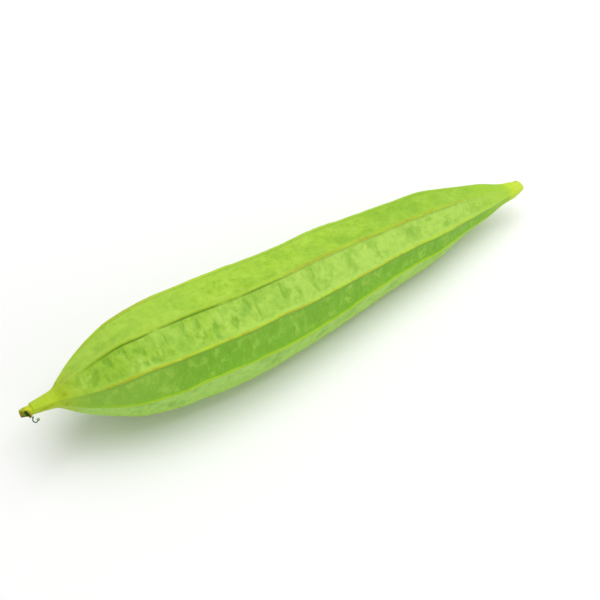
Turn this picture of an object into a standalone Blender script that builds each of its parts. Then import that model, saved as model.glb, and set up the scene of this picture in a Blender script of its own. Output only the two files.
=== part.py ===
"""A ridge gourd, picked and lying on its side. Metres, +Z up.

Four pieces: the ridged fruit, the cut stub of its stem, the withered flower cup on its tip,
and the curled thread of the flower's style that hangs from the cup.

The fruit lies along X, flower end at -X and stem end at +X, and rests on two neighbouring ridges.
An angle around it is counted from the front (-Y) upwards, in degrees.
"""

import math

import bmesh
import bpy
from mathutils import Vector

# Driving dimensions
FRUIT_LENGTH = 0.286
GREATEST_RADIUS = 0.0294  # over the ridges
RIDGE_HEIGHT = 0.0016  # above the corners of the ten flat sides
RIDGE_WIDTH = 0.0016  # distance in which a ridge falls to about a third of its height
RIDGE_CREST = 0.0005  # half the width of a ridge's top
RIDGE_FOOT = 0.0025  # from a ridge's middle to where it has almost run out
SIDE_PLACES = (0.08, 0.24, 0.37)  # shares of a side's width where its points stand at most
SIDE_BULGE = 0.35  # 0 is a flat side between two ridges, 1 a round one
LEAN = math.radians(3.3)  # the stem end lies lower than the flower end
PRESSED_FLAT = 0.0006  # how far the lowest crest is flattened where the fruit rests
JOINT_GAP = 0.0003  # between one piece and the next

# Each row is a share of the fruit's length, from the flower end, and a value there
OUTLINE = (  # radius over the ridges, as a share of the greatest
    (0.0, 0.101),
    (0.021, 0.127),
    (0.041, 0.161),
    (0.059, 0.280),
    (0.084, 0.446),
    (0.119, 0.635),
    (0.175, 0.857),
    (0.255, 0.979),
    (0.360, 1.0),
    (0.472, 0.930),
    (0.591, 0.862),
    (0.703, 0.742),
    (0.801, 0.639),
    (0.878, 0.456),
    (0.934, 0.331),
    (0.984, 0.181),
    (1.0, 0.162),
)
SIDEWAYS_BEND = ((-0.03, 0.0), (0.18, -0.0012), (0.40, -0.0032), (0.64, 0.0010), (0.85, 0.0030), (1.03, 0.0))
RIDGE_SHARE = ((0.0, 0.12), (0.05, 0.3), (0.12, 0.75), (0.22, 1.0), (0.7, 0.95), (0.88, 0.6), (1.0, 0.15))

# Each of the ten ridges: its share of the radius, and its way along the fruit in degrees around it
RIDGES = (
    (0.99, ((0.0, -138.0), (0.29, -138.0), (0.61, -141.0), (1.0, -149.0))),
    (1.0, ((0.0, -108.0), (0.29, -108.0), (0.61, -111.7), (1.0, -123.0))),
    (1.0, ((0.0, -71.0), (0.29, -71.0), (0.61, -74.7), (1.0, -86.0))),
    (1.0, ((0.0, -29.6), (0.29, -29.6), (0.61, -33.3), (1.0, -44.6))),
    (1.0, ((0.0, 3.0), (0.07, 1.5), (0.14, -0.4), (0.2, 1.4), (0.29, 5.5), (0.36, 5.6), (0.45, 1.4),
           (0.53, 0.6), (0.62, 3.4), (0.7, 3.0), (0.8, -1.5), (1.0, -9.6))),
    (1.0, ((0.0, 34.0), (0.07, 35.5), (0.13, 37.8), (0.2, 40.4), (0.42, 40.4), (0.5, 37.2), (0.65, 34.4),
           (0.75, 32.4), (0.83, 26.6), (0.9, 23.5), (1.0, 21.0))),
    (1.0, ((0.0, 87.0), (0.1, 86.4), (0.15, 84.0), (0.2, 80.6), (0.3, 78.6), (0.4, 77.2), (0.5, 77.2),
           (0.6, 75.2), (0.7, 74.2), (0.8, 71.5), (0.9, 69.0), (1.0, 65.0))),
    (1.0, ((0.0, 139.0), (0.1, 138.0), (0.15, 134.6), (0.2, 129.4), (0.27, 126.0), (0.36, 124.2),
           (0.5, 123.0), (0.7, 122.0), (1.0, 119.0))),
    (0.95, ((0.0, 170.0), (0.3, 162.0), (1.0, 158.0))),
    (0.985, ((0.0, 196.0), (0.3, 190.0), (1.0, 184.0))),
)

RINGS = 44
RING_CROWDING = 0.11  # brings the rings closer together near the two ends
NEARBY = 0.01  # share of the length between the two places that give the middle line its direction
SHARP_EDGE = math.radians(50)

# The cut stub of the stem
STUB_LENGTH = 0.0059
STUB_RADIUS = 0.0041
STUB_END_RADIUS = 0.0034
STUB_ROUNDING = 0.0012
STUB_TURNS_BACK = math.radians(10)  # how far its end turns away from the fruit's middle line
STUB_TURNS_UP = math.radians(10)
STUB_STEPS = 5
STUB_END_TURNS = (30, 60, 85)  # degrees of the rounding where it has points

# The withered flower cup: a torn tube, long on top, where it hangs over like a hood, and short below
CUP_RADIUS = 0.0029
CUP_WALL = 0.0008
CUP_SHORT = 0.0014
CUP_LONG = 0.0055
CUP_LONG_AT = 88.0  # degrees around the tip
CUP_DROOP = 150.0  # how fast the long side hangs down, per metre of its length
CUP_WAIST = 0.06  # how much narrower it is halfway
CUP_SIDES = 28
CUP_RINGS = 5

# The curled thread below the cup
THREAD_RADIUS = 0.00033
THREAD_CURL = 0.0017
THREAD_TIGHTENING = 0.35  # share of the curl's radius lost by its end
THREAD_DROP = 0.0010  # from the cup to where the curl starts
THREAD_BEAD = 1.7  # the bead's radius against the thread's
THREAD_BEAD_AT = 0.93  # share of the curl where the bead is thickest
THREAD_BEAD_REACH = 0.14
THREAD_AT = -39.0  # degrees around the tip
THREAD_OUT = 0.0006  # from the fruit's end
THREAD_TURN = (140.0, 405.0)  # where the curl starts and ends
THREAD_FACES = math.radians(-33.0)  # turn of the curl's plane about Z
THREAD_LEANS = math.radians(50.0)  # how far that plane leans back from upright
THREAD_POINTS = 16


def value_at(rows, share):
    """The value at a share of the length, on a smooth curve through the rows that never overshoots them."""
    runs = [b[0] - a[0] for a, b in zip(rows, rows[1:])]
    slopes = [(b[1] - a[1]) / run for a, b, run in zip(rows, rows[1:], runs)]
    tangents = [slopes[0]]
    for left, right in zip(slopes, slopes[1:]):
        tangents.append(2 * left * right / (left + right) if left * right > 0 else 0.0)
    tangents.append(slopes[-1])
    spot = max(i for i in range(len(runs)) if i == 0 or rows[i][0] <= share)
    t = (share - rows[spot][0]) / runs[spot]
    start, end = rows[spot][1], rows[spot + 1][1]
    return (
        start * (1 + 2 * t) * (1 - t) ** 2
        + end * t * t * (3 - 2 * t)
        + tangents[spot] * runs[spot] * t * (1 - t) ** 2
        - tangents[spot + 1] * runs[spot] * t * t * (1 - t)
    )


def middle(share):
    """The fruit's middle line, which leans and bends sideways, before it is lifted onto the ground."""
    x = (share - 0.5) * FRUIT_LENGTH
    return Vector((x, value_at(SIDEWAYS_BEND, share), -math.tan(LEAN) * x))


def heading(share):
    """Which way the middle line runs, towards the stem."""
    return (middle(share + NEARBY) - middle(share - NEARBY)).normalized()


def around(share, angle, radius):
    """A step off the middle line, square to it."""
    back = Vector((0.0, 0.0, 1.0)).cross(heading(share)).normalized()
    up = heading(share).cross(back)
    turn = math.radians(angle)
    return radius * (math.sin(turn) * up - math.cos(turn) * back)


def places_across(side):
    """Shares of the way from one ridge to the next where a ring has points, for a side of this width."""
    crest = min(RIDGE_CREST / side, SIDE_PLACES[0])
    foot = min(RIDGE_FOOT / side, SIDE_PLACES[1])
    inner = SIDE_PLACES[2]
    return crest, foot, inner, 1 - inner, 1 - foot, 1 - crest


def ring(share):
    """Steps off the middle line around the fruit: ten almost flat sides, a raised ridge at each corner."""
    outer = GREATEST_RADIUS * value_at(OUTLINE, share)
    height = RIDGE_HEIGHT * value_at(RIDGE_SHARE, share)
    corners = [(value_at(way, share), outer * reach - height) for reach, way in RIDGES]
    corners.append((corners[0][0] + 360, corners[0][1]))
    steps = []
    for (angle, corner), (next_angle, next_corner) in zip(corners, corners[1:]):
        wide = math.radians(next_angle - angle)
        side = (corner + next_corner) / 2 * wide
        for place in places_across(side):
            slant = corner * math.sin(wide * place) + next_corner * math.sin(wide * (1 - place))
            flat = corner * next_corner * math.sin(wide) / slant
            arc = corner + place * (next_corner - corner)
            skin = flat + SIDE_BULGE * (arc - flat)
            away = max(side * min(place, 1 - place) - RIDGE_CREST, 0.0)
            ridge = height * math.exp(-away / RIDGE_WIDTH)
            steps.append(around(share, angle + place * (next_angle - angle), skin + ridge))
    return steps


def ring_shares():
    """Where the rings stand along the fruit."""
    shares = [i / RINGS for i in range(RINGS + 1)]
    return [share - RING_CROWDING * math.sin(2 * math.pi * share) for share in shares]


def lift():
    """How far the middle line is raised so that the lowest crest reaches just below the ground."""
    lowest = min(middle(share).z + step.z for share in ring_shares() for step in ring(share))
    return -lowest - PRESSED_FLAT


def middle_on_ground(share):
    return middle(share) + Vector((0.0, 0.0, lift()))


def material(name, colour, roughness):
    made = bpy.data.materials.new(name)
    made.use_nodes = True
    shader = made.node_tree.nodes["Principled BSDF"]
    shader.inputs["Base Color"].default_value = (*colour, 1.0)
    shader.inputs["Roughness"].default_value = roughness
    shader.inputs["Metallic"].default_value = 0.0
    return made


def add_object(name, data, made_of, parent):
    """The object in the gourd's collection, under the empty that centres the whole gourd."""
    piece = bpy.data.objects.new(name, data)
    piece.data.materials.append(made_of)
    bpy.data.collections["ridge_gourd"].objects.link(piece)
    piece.parent = parent
    return piece


def loft(name, rings, close_first, close_last):
    """A mesh through rings of points that run from -X to +X, each counted as around() counts."""
    shape = bmesh.new()
    loops = [[shape.verts.new(point) for point in points] for points in rings]
    for back, front in zip(loops, loops[1:]):
        for i in range(len(back)):
            after = (i + 1) % len(back)
            shape.faces.new((back[i], front[i], front[after], back[after]))
    if close_first:
        shape.faces.new(loops[0])
    if close_last:
        shape.faces.new(list(reversed(loops[-1])))
    for face in shape.faces:
        face.smooth = True
    mesh = bpy.data.meshes.new(name)
    shape.to_mesh(mesh)
    shape.free()
    return mesh


def add_fruit(parent):
    raised = lift()
    rings = []
    for share in ring_shares():
        centre = middle(share) + Vector((0.0, 0.0, raised))
        points = [centre + step for step in ring(share)]
        for point in points:
            point.z = max(point.z, 0.0)
        rings.append(points)
    mesh = loft("fruit", rings, True, True)
    mesh.set_sharp_from_angle(angle=SHARP_EDGE)
    return add_object("fruit", mesh, material("green_skin", (0.32, 0.58, 0.045), 0.45), parent)


def add_stem_stub(parent):
    """A stub that carries on the fruit's middle line and turns a little away from it, rounded at its end."""
    onwards = heading(1.0)
    back = Vector((0.0, 0.0, 1.0)).cross(onwards).normalized()
    up = onwards.cross(back)
    turns = back * math.tan(STUB_TURNS_BACK) + up * math.tan(STUB_TURNS_UP)
    straight = STUB_LENGTH - STUB_ROUNDING
    reaches = [(straight * i / STUB_STEPS, 1 - i / STUB_STEPS) for i in range(STUB_STEPS + 1)]
    stations = [(reach, STUB_END_RADIUS + (STUB_RADIUS - STUB_END_RADIUS) * left) for reach, left in reaches]
    for degrees in STUB_END_TURNS:
        turn = math.radians(degrees)
        across = STUB_END_RADIUS - STUB_ROUNDING * (1 - math.cos(turn))
        stations.append((straight + STUB_ROUNDING * math.sin(turn), across))
    curve = bpy.data.curves.new("stem_stub", "CURVE")
    curve.dimensions = "3D"
    curve.bevel_depth = STUB_RADIUS
    curve.bevel_resolution = 4
    curve.use_fill_caps = True
    tube = curve.splines.new("POLY")
    tube.points.add(len(stations) - 1)
    start = middle_on_ground(1.0) + onwards * JOINT_GAP
    for point, (reach, across) in zip(tube.points, stations):
        point.co = (*(start + onwards * reach + turns * reach * reach / STUB_LENGTH), 1.0)
        point.radius = across / STUB_RADIUS
    return add_object("stem_stub", curve, material("cut_stem", (0.55, 0.72, 0.06), 0.6), parent)


def add_flower_cup(parent):
    """The cup's open surface, floor and torn wall, given its thickness inwards."""
    outwards = -heading(0.0)
    foot = middle_on_ground(0.0) + outwards * JOINT_GAP
    angles = [360.0 * i / CUP_SIDES for i in range(CUP_SIDES)]
    shape = bmesh.new()
    loops = []
    for i in range(CUP_RINGS):
        share = i / (CUP_RINGS - 1)
        loop = []
        for angle in angles:
            far_side = 0.5 + 0.5 * math.cos(math.radians(angle - CUP_LONG_AT))
            reach = share * (CUP_SHORT + (CUP_LONG - CUP_SHORT) * far_side**2)
            waist = 1 - CUP_WAIST * math.sin(math.pi * share)
            droop = Vector((0.0, 0.0, -CUP_DROOP * reach * reach))
            side = around(0.0, angle, CUP_RADIUS * waist)
            loop.append(shape.verts.new(foot + outwards * reach + side + droop))
        loops.append(loop)
    shape.faces.new(loops[0])
    for back, front in zip(loops, loops[1:]):
        for i in range(CUP_SIDES):
            after = (i + 1) % CUP_SIDES
            shape.faces.new((back[i], back[after], front[after], front[i]))
    bmesh.ops.recalc_face_normals(shape, faces=shape.faces)
    mesh = bpy.data.meshes.new("flower_cup")
    shape.to_mesh(mesh)
    shape.free()
    cup = add_object("flower_cup", mesh, material("dry_flower", (0.42, 0.45, 0.04), 0.7), parent)
    wall = cup.modifiers.new("wall", "SOLIDIFY")
    wall.thickness = CUP_WALL
    wall.offset = -1.0
    wall.use_even_offset = True
    return cup


def add_style_thread(parent):
    """A thread that hangs from the cup and curls like a hook, with a bead at its end."""
    tip = middle_on_ground(0.0)
    below = around(0.0, THREAD_AT, CUP_RADIUS + THREAD_RADIUS + JOINT_GAP)
    start = tip - heading(0.0) * THREAD_OUT + below
    sideways = Vector((math.cos(THREAD_FACES), math.sin(THREAD_FACES), 0.0))
    away = Vector((-math.sin(THREAD_FACES), math.cos(THREAD_FACES), 0.0))
    upwards = away * math.sin(THREAD_LEANS) + Vector((0.0, 0.0, math.cos(THREAD_LEANS)))
    first, last = (math.radians(turn) for turn in THREAD_TURN)
    curl_start = start - upwards * THREAD_DROP
    hub = curl_start - THREAD_CURL * (sideways * math.cos(first) + upwards * math.sin(first))
    curve = bpy.data.curves.new("style_thread", "CURVE")
    curve.dimensions = "3D"
    curve.bevel_depth = THREAD_RADIUS
    curve.bevel_resolution = 2
    curve.use_fill_caps = True
    thread = curve.splines.new("POLY")
    thread.points.add(THREAD_POINTS)
    thread.points[0].co = (*start, 1.0)
    for i, point in enumerate(thread.points[1:]):
        share = i / (THREAD_POINTS - 1)
        turn = first + (last - first) * share
        reach = THREAD_CURL * (1 - THREAD_TIGHTENING * share)
        place = hub + reach * (sideways * math.cos(turn) + upwards * math.sin(turn))
        point.co = (*place, 1.0)
        swelling = max(0.0, 1 - abs(share - THREAD_BEAD_AT) / THREAD_BEAD_REACH)
        point.radius = 1 + (THREAD_BEAD - 1) * swelling
    return add_object("style_thread", curve, material("dark_thread", (0.05, 0.13, 0.03), 0.6), parent)


def centre_on_origin(parent, pieces):
    """Moves the gourd so that its box stands on the origin, middle above it."""
    bpy.context.view_layer.update()
    shapes = bpy.context.evaluated_depsgraph_get()
    points = []
    for piece in pieces:
        seen = piece.evaluated_get(shapes)
        points += [seen.matrix_world @ vertex.co for vertex in seen.to_mesh().vertices]
        seen.to_mesh_clear()
    for axis in (0, 1):
        low = min(point[axis] for point in points)
        high = max(point[axis] for point in points)
        parent.location[axis] = -(low + high) / 2


def main():
    for old in list(bpy.data.objects):
        bpy.data.objects.remove(old)
    gourd = bpy.data.collections.new("ridge_gourd")
    bpy.context.scene.collection.children.link(gourd)
    whole = bpy.data.objects.new("whole_gourd", None)
    gourd.objects.link(whole)
    pieces = [add_fruit(whole), add_stem_stub(whole), add_flower_cup(whole), add_style_thread(whole)]
    centre_on_origin(whole, pieces)


main()
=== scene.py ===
import math

import bmesh
import bpy
from mathutils import Matrix, Vector, noise


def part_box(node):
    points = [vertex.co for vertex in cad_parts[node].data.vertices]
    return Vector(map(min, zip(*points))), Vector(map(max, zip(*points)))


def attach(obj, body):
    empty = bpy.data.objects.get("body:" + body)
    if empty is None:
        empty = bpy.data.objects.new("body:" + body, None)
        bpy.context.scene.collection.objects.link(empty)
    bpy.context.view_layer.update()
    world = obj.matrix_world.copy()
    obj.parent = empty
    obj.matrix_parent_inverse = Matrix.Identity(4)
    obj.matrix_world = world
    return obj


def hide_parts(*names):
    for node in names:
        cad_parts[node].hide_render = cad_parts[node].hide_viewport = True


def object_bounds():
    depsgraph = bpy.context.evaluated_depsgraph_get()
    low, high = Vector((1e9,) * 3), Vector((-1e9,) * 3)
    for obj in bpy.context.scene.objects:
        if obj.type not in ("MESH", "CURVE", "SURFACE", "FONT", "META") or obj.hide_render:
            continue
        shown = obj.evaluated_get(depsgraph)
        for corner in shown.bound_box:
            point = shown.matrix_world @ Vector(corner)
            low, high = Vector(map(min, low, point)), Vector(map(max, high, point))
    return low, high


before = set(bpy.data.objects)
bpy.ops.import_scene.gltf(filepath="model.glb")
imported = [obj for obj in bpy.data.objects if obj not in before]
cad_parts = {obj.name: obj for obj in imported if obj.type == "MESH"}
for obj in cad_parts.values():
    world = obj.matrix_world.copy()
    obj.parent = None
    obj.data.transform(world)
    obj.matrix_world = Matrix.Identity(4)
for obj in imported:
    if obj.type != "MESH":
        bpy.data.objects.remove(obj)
cadLow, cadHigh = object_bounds()
print("frame loaded:", ", ".join(sorted(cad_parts)))


# small helpers for node trees
def plug(tree, socket, value):
    if isinstance(value, bpy.types.NodeSocket):
        tree.links.new(value, socket)
    elif value is not None:
        socket.default_value = value


nodeGrid = {"columns": 14, "width": 190, "height": 260}


def addNode(tree, kind, **settings):
    node = tree.nodes.new(kind)
    row, column = divmod(len(tree.nodes), nodeGrid["columns"])
    node.location = (nodeGrid["width"] * column, -nodeGrid["height"] * row)
    for name, value in settings.items():
        setattr(node, name, value)
    return node


def calc(tree, operation, *values):
    node = addNode(tree, "ShaderNodeMath", operation=operation)
    for socket, value in zip(node.inputs, values):
        plug(tree, socket, value)
    return node.outputs[0]


def vectorCalc(tree, operation, *values):
    node = addNode(tree, "ShaderNodeVectorMath", operation=operation)
    for socket, value in zip(node.inputs, values):
        plug(tree, socket, value)
    return node.outputs[0]


def scaleVector(tree, vector, amount):
    node = addNode(tree, "ShaderNodeVectorMath", operation="SCALE")
    plug(tree, node.inputs[0], vector)
    plug(tree, node.inputs["Scale"], amount)
    return node.outputs[0]


def noiseAt(tree, vector, scale, detail=2.0, roughness=0.5, distortion=0.0):
    node = addNode(tree, "ShaderNodeTexNoise")
    plug(tree, node.inputs["Vector"], vector)
    plug(tree, node.inputs["Scale"], scale)
    node.inputs["Detail"].default_value = detail
    node.inputs["Roughness"].default_value = roughness
    node.inputs["Distortion"].default_value = distortion
    return node.outputs[0]


# 0 below low, 1 above high, eased in between; low may be the larger one
def rise(tree, value, low, high):
    node = addNode(tree, "ShaderNodeMapRange", interpolation_type="SMOOTHSTEP")
    plug(tree, node.inputs["Value"], value)
    node.inputs["From Min"].default_value = low
    node.inputs["From Max"].default_value = high
    return node.outputs["Result"]


def paint(red, green, blue):
    shares = [value / 255 for value in (red, green, blue)]
    linear = [s / 12.92 if s <= 0.04045 else ((s + 0.055) / 1.055) ** 2.4 for s in shares]
    return (*linear, 1.0)


def mixColour(tree, share, first, second):
    node = addNode(tree, "ShaderNodeMix", data_type="RGBA")
    plug(tree, node.inputs[0], share)
    plug(tree, node.inputs[6], first)
    plug(tree, node.inputs[7], second)
    return node.outputs[2]


def startMaterial(name, roughness):
    material = bpy.data.materials.new(name)
    material.use_nodes = True
    tree = material.node_tree
    shader = tree.nodes["Principled BSDF"]
    shader.inputs["Roughness"].default_value = roughness
    return material, tree, shader


def attributeOf(tree, name):
    return addNode(tree, "ShaderNodeAttribute", attribute_name=name).outputs["Fac"]


def objectPlace(tree):
    return addNode(tree, "ShaderNodeTexCoord").outputs["Object"]


def bumpFrom(tree, shader, heights):
    normal = None
    for height, distance in heights:
        node = addNode(tree, "ShaderNodeBump")
        plug(tree, node.inputs["Height"], height)
        node.inputs["Distance"].default_value = distance
        plug(tree, node.inputs["Normal"], normal)
        normal = node.outputs["Normal"]
    tree.links.new(normal, shader.inputs["Normal"])


# the camera
viewPoint = {
    "lookAt": (0.0, 0.0004, 0.025),
    "turn": 33.04,  # degrees to the left of the gourd's front
    "height": 50.0,  # degrees above the floor
    "distance": 0.95,
    "lens": 113.8,  # mm, and so is the sensor
    "sensor": 36.0,
    "seesFrom": 0.05,
    "seesUpTo": 50.0,
    "aimRight": 0.0050,  # how far the middle of the view lies beside lookAt
    "aimUp": -0.0017,
}


def addCamera(view):
    turn, height = math.radians(view["turn"]), math.radians(view["height"])
    level = Vector((math.sin(turn), math.cos(turn), 0.0))
    forward = level * math.cos(height) - Vector((0.0, 0.0, math.sin(height)))
    right = forward.cross(Vector((0.0, 0.0, 1.0))).normalized()
    up = right.cross(forward)
    place = Vector(view["lookAt"]) - forward * view["distance"]
    aim = Vector(view["lookAt"]) + right * view["aimRight"] + up * view["aimUp"]
    lens = bpy.data.cameras.new("studioCamera")
    lens.lens = view["lens"]
    lens.sensor_width = view["sensor"]
    lens.clip_start, lens.clip_end = view["seesFrom"], view["seesUpTo"]
    camera = bpy.data.objects.new("studioCamera", lens)
    bpy.context.scene.collection.objects.link(camera)
    camera.location = place
    sight = (aim - place).normalized()
    upright = (up - sight * up.dot(sight)).normalized()
    camera.rotation_euler = Matrix((sight.cross(upright), upright, -sight)).transposed().to_euler()
    bpy.context.scene.camera = camera


addCamera(viewPoint)
print("camera placed")


# the fruit's shape follows the same rule as the CAD model's
gourdShape = {
    "length": 0.286,
    "greatestRadius": 0.0294,
    "ridgeHeight": 0.0016,
    "lean": 3.3,  # degrees, stem end down
    # each ridge: its share of the radius, and its way along the fruit in degrees around it
    "ridges": (
        (0.99, ((0.0, -138.0), (0.29, -138.0), (0.61, -141.0), (1.0, -149.0))),
        (1.0, ((0.0, -108.0), (0.29, -108.0), (0.61, -111.7), (1.0, -123.0))),
        (1.0, ((0.0, -71.0), (0.29, -71.0), (0.61, -74.7), (1.0, -86.0))),
        (1.0, ((0.0, -29.6), (0.29, -29.6), (0.61, -33.3), (1.0, -44.6))),
        (1.0, (
            (0.0, 3.0), (0.07, 1.5), (0.14, -0.4), (0.2, 1.4), (0.29, 5.5), (0.36, 5.6),
            (0.45, 1.4), (0.53, 0.6), (0.62, 3.4), (0.7, 3.0), (0.8, -1.5), (1.0, -9.6),
        )),
        (1.0, (
            (0.0, 34.0), (0.07, 35.5), (0.13, 37.8), (0.2, 40.4), (0.42, 40.4), (0.5, 37.2),
            (0.65, 34.4), (0.75, 32.4), (0.83, 26.6), (0.9, 23.5), (1.0, 21.0),
        )),
        (1.0, (
            (0.0, 87.0), (0.1, 86.4), (0.15, 84.0), (0.2, 80.6), (0.3, 78.6), (0.4, 77.2),
            (0.5, 77.2), (0.6, 75.2), (0.7, 74.2), (0.8, 71.5), (0.9, 69.0), (1.0, 65.0),
        )),
        (1.0, (
            (0.0, 139.0), (0.1, 138.0), (0.15, 134.6), (0.2, 129.4), (0.27, 126.0), (0.36, 124.2),
            (0.5, 123.0), (0.7, 122.0), (1.0, 119.0),
        )),
        (0.95, ((0.0, 170.0), (0.3, 162.0), (1.0, 158.0))),
        (0.985, ((0.0, 196.0), (0.3, 190.0), (1.0, 184.0))),
    ),
    # each row: share of the length from the flower end, value there
    "outline": (
        (0.0, 0.101), (0.021, 0.127), (0.041, 0.161), (0.059, 0.280), (0.084, 0.446), (0.119, 0.635),
        (0.175, 0.857), (0.255, 0.979), (0.360, 1.0), (0.472, 0.930), (0.591, 0.862), (0.703, 0.742),
        (0.801, 0.639), (0.878, 0.456), (0.934, 0.331), (0.984, 0.181), (1.0, 0.162),
    ),
    "bend": (
        (-0.03, 0.0), (0.18, -0.0012), (0.40, -0.0032), (0.64, 0.0010), (0.85, 0.0030), (1.03, 0.0),
    ),
    "ridgeShare": (
        (0.0, 0.12), (0.05, 0.3), (0.12, 0.75), (0.22, 1.0), (0.7, 0.95), (0.88, 0.6), (1.0, 0.15),
    ),
    "jointGap": 0.0003,  # between the fruit and what sits on its ends
}
# sides and ridges with a look of their own, by their number in the list of ridges
lowerSide, frontSide, middleSide, upperSide = 3, 4, 5, 6
lowerRidge, frontRidge, upperRidge, rearRidge = 3, 4, 6, 7


def valueAt(rows, share):
    runs = [b[0] - a[0] for a, b in zip(rows, rows[1:])]
    slopes = [(b[1] - a[1]) / run for a, b, run in zip(rows, rows[1:], runs)]
    tangents = [slopes[0]]
    for left, right in zip(slopes, slopes[1:]):
        tangents.append(2 * left * right / (left + right) if left * right > 0 else 0.0)
    tangents.append(slopes[-1])
    spot = max(i for i in range(len(runs)) if i == 0 or rows[i][0] <= share)
    t = (share - rows[spot][0]) / runs[spot]
    start, end = rows[spot][1], rows[spot + 1][1]
    return (
        start * (1 + 2 * t) * (1 - t) ** 2
        + end * t * t * (3 - 2 * t)
        + tangents[spot] * runs[spot] * t * (1 - t) ** 2
        - tangents[spot + 1] * runs[spot] * t * t * (1 - t)
    )


def middleOf(share):
    x = (share - 0.5) * gourdShape["length"]
    z = -math.tan(math.radians(gourdShape["lean"])) * x
    return Vector((x, valueAt(gourdShape["bend"], share), z))


def headingOf(share):
    near = 0.01
    return (middleOf(share + near) - middleOf(share - near)).normalized()


def stepAround(share, degrees, radius):
    back = Vector((0.0, 0.0, 1.0)).cross(headingOf(share)).normalized()
    up = headingOf(share).cross(back)
    turn = math.radians(degrees)
    return radius * (math.sin(turn) * up - math.cos(turn) * back)


# where the rule's shape has to go to lie in its CAD node's box
def shiftIntoBox():
    low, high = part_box("fruit")
    crests = []
    steps = 120
    for i in range(steps + 1):
        share = i / steps
        outer = gourdShape["greatestRadius"] * valueAt(gourdShape["outline"], share)
        for reach, way in gourdShape["ridges"]:
            crests.append(middleOf(share) + stepAround(share, valueAt(way, share), outer * reach))
    leftMost = min(point.x for point in crests)
    sideMiddle = (min(point.y for point in crests) + max(point.y for point in crests)) / 2
    top = max(point.z for point in crests)
    return Vector((low.x - leftMost, (low.y + high.y) / 2 - sideMiddle, high.z - top))


shift = shiftIntoBox()


def keepMesh(name, mesh, node):
    piece = bpy.data.objects.new(name, mesh)
    bpy.context.scene.collection.objects.link(piece)
    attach(piece, "root")
    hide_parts(node)
    return piece


# merges what lies together and turns the faces outwards
def tidyMesh(mesh, distance=0.000002):
    shape = bmesh.new()
    shape.from_mesh(mesh)
    bmesh.ops.remove_doubles(shape, verts=shape.verts, dist=distance)
    bmesh.ops.dissolve_degenerate(shape, edges=shape.edges, dist=distance)
    bmesh.ops.recalc_face_normals(shape, faces=shape.faces)
    shape.to_mesh(mesh)
    shape.free()
    for polygon in mesh.polygons:
        polygon.use_smooth = True
    return mesh


# the cut stub of the stem; the skin near it takes its green
stemStub = {
    "length": 0.00578,
    "radius": 0.0044,
    "endRadius": 0.0035,
    "rounding": 0.0012,
    "sunkBy": 0.0006,  # how far its foot reaches back into the fruit
    "flare": 0.0003,
    "flareLength": 0.0009,
    "cutHollow": 0.0005,
    "unevenness": 0.035,
    "turnsBack": 10.0,  # degrees
    "turnsUp": 10.0,
    "sides": 72,
    "rings": 40,
    "roundingRings": 8,
    "ribs": 5,
    "ribDepth": 0.03,
    "green": paint(194, 222, 52),
    "yellow": paint(206, 222, 44),
    "cut": paint(204, 218, 60),
    "brown": paint(104, 84, 24),
    "dotShare": 0.8,
    "roughness": 0.55,
    "fibreDepth": 0.0003,
    "grainDepth": 0.00012,
}

skinFinish = {
    "fresh": paint(156, 200, 48),
    "light": paint(182, 220, 86),
    "deep": paint(118, 172, 30),
    "sideTonesAndLight": {  # a side's tone and its share over the clouds; the front side's darker tone is partly its own greener hue and partly painted shade, and the lower side's paler tone is a painted reflection of the pale floor
        frontSide: (paint(106, 175, 23), 0.72),
        lowerSide: (paint(172, 220, 106), 0.72),
        upperSide: (paint(168, 208, 48), 0.66),
    },
    "bloom": paint(176, 214, 92),  # the paler half of the middle side
    "crestLime": paint(176, 208, 20),
    "crestOchre": paint(172, 182, 8),
    "crestBrown": paint(148, 136, 10),
    "crestFresh": paint(158, 208, 36),
    # the colour of the painted shade under the ridges
    "ridgeShade": paint(96, 138, 0),
    "beak": paint(180, 206, 16),
    "beakOchre": paint(150, 166, 8),
    "stemEnd": paint(168, 208, 40),
    "roughness": 0.45,
    "gloss": (0.36, 0.22),  # least roughness, and how much the noise adds
    "cloudScale": 46.0,
    "cloudShare": 0.55,
    "bloomShare": 0.75,
    "humpShare": 0.6,
    "furrowShare": 0.75,
    "calmer": {frontSide: 0.55, upperSide: 0.8, lowerSide: 0.5},  # less of both on these
    "calmerMiddle": 0.45,  # on the stem half of the middle side
    "patchScale": 120.0,
    "patchShares": (0.42, 0.36),  # deep, light
    "broadScale": 62.0,
    "broadShare": 0.28,
    "stemwardsShare": 0.30,
    "mottleScale": 330.0,
    "mottleShares": (0.28, 0.25),  # deep, light
    "poreScale": 250.0,
    "poreSize": 0.17,
    "poreShare": 0.5,
    "startShare": 0.22,  # how pale two sides start after the beak
    "beakShare": 0.85,
    "stemEndShare": 0.6,
    "stainShare": 0.75,
    "ridgeShadeShares": (0.3, 0.55),  # painted shade under every ridge, added at the start of the upper one
    "rearRidgeShadeShare": 0.5,
    "crestReach": (0.24, 0.76),  # in mm, least and what the noise adds
    "crestShare": 0.85,
    "crestSpecks": 0.5,
    "crestFreshShare": 0.5,
    "lessOchre": {"front": 0.11, "upperStart": 0.16},
    "faint": {"upperStart": 0.45, "lower": 0.6, "rear": 0.65, "stemwards": 0.12},
    "shine": 0.32,
    "softShare": 0.06,
    "softReach": (0.0016, 0.0022, 0.0006),
    "bumpDepth": 0.0005,
    "grainDepth": 0.00008,
}


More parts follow.
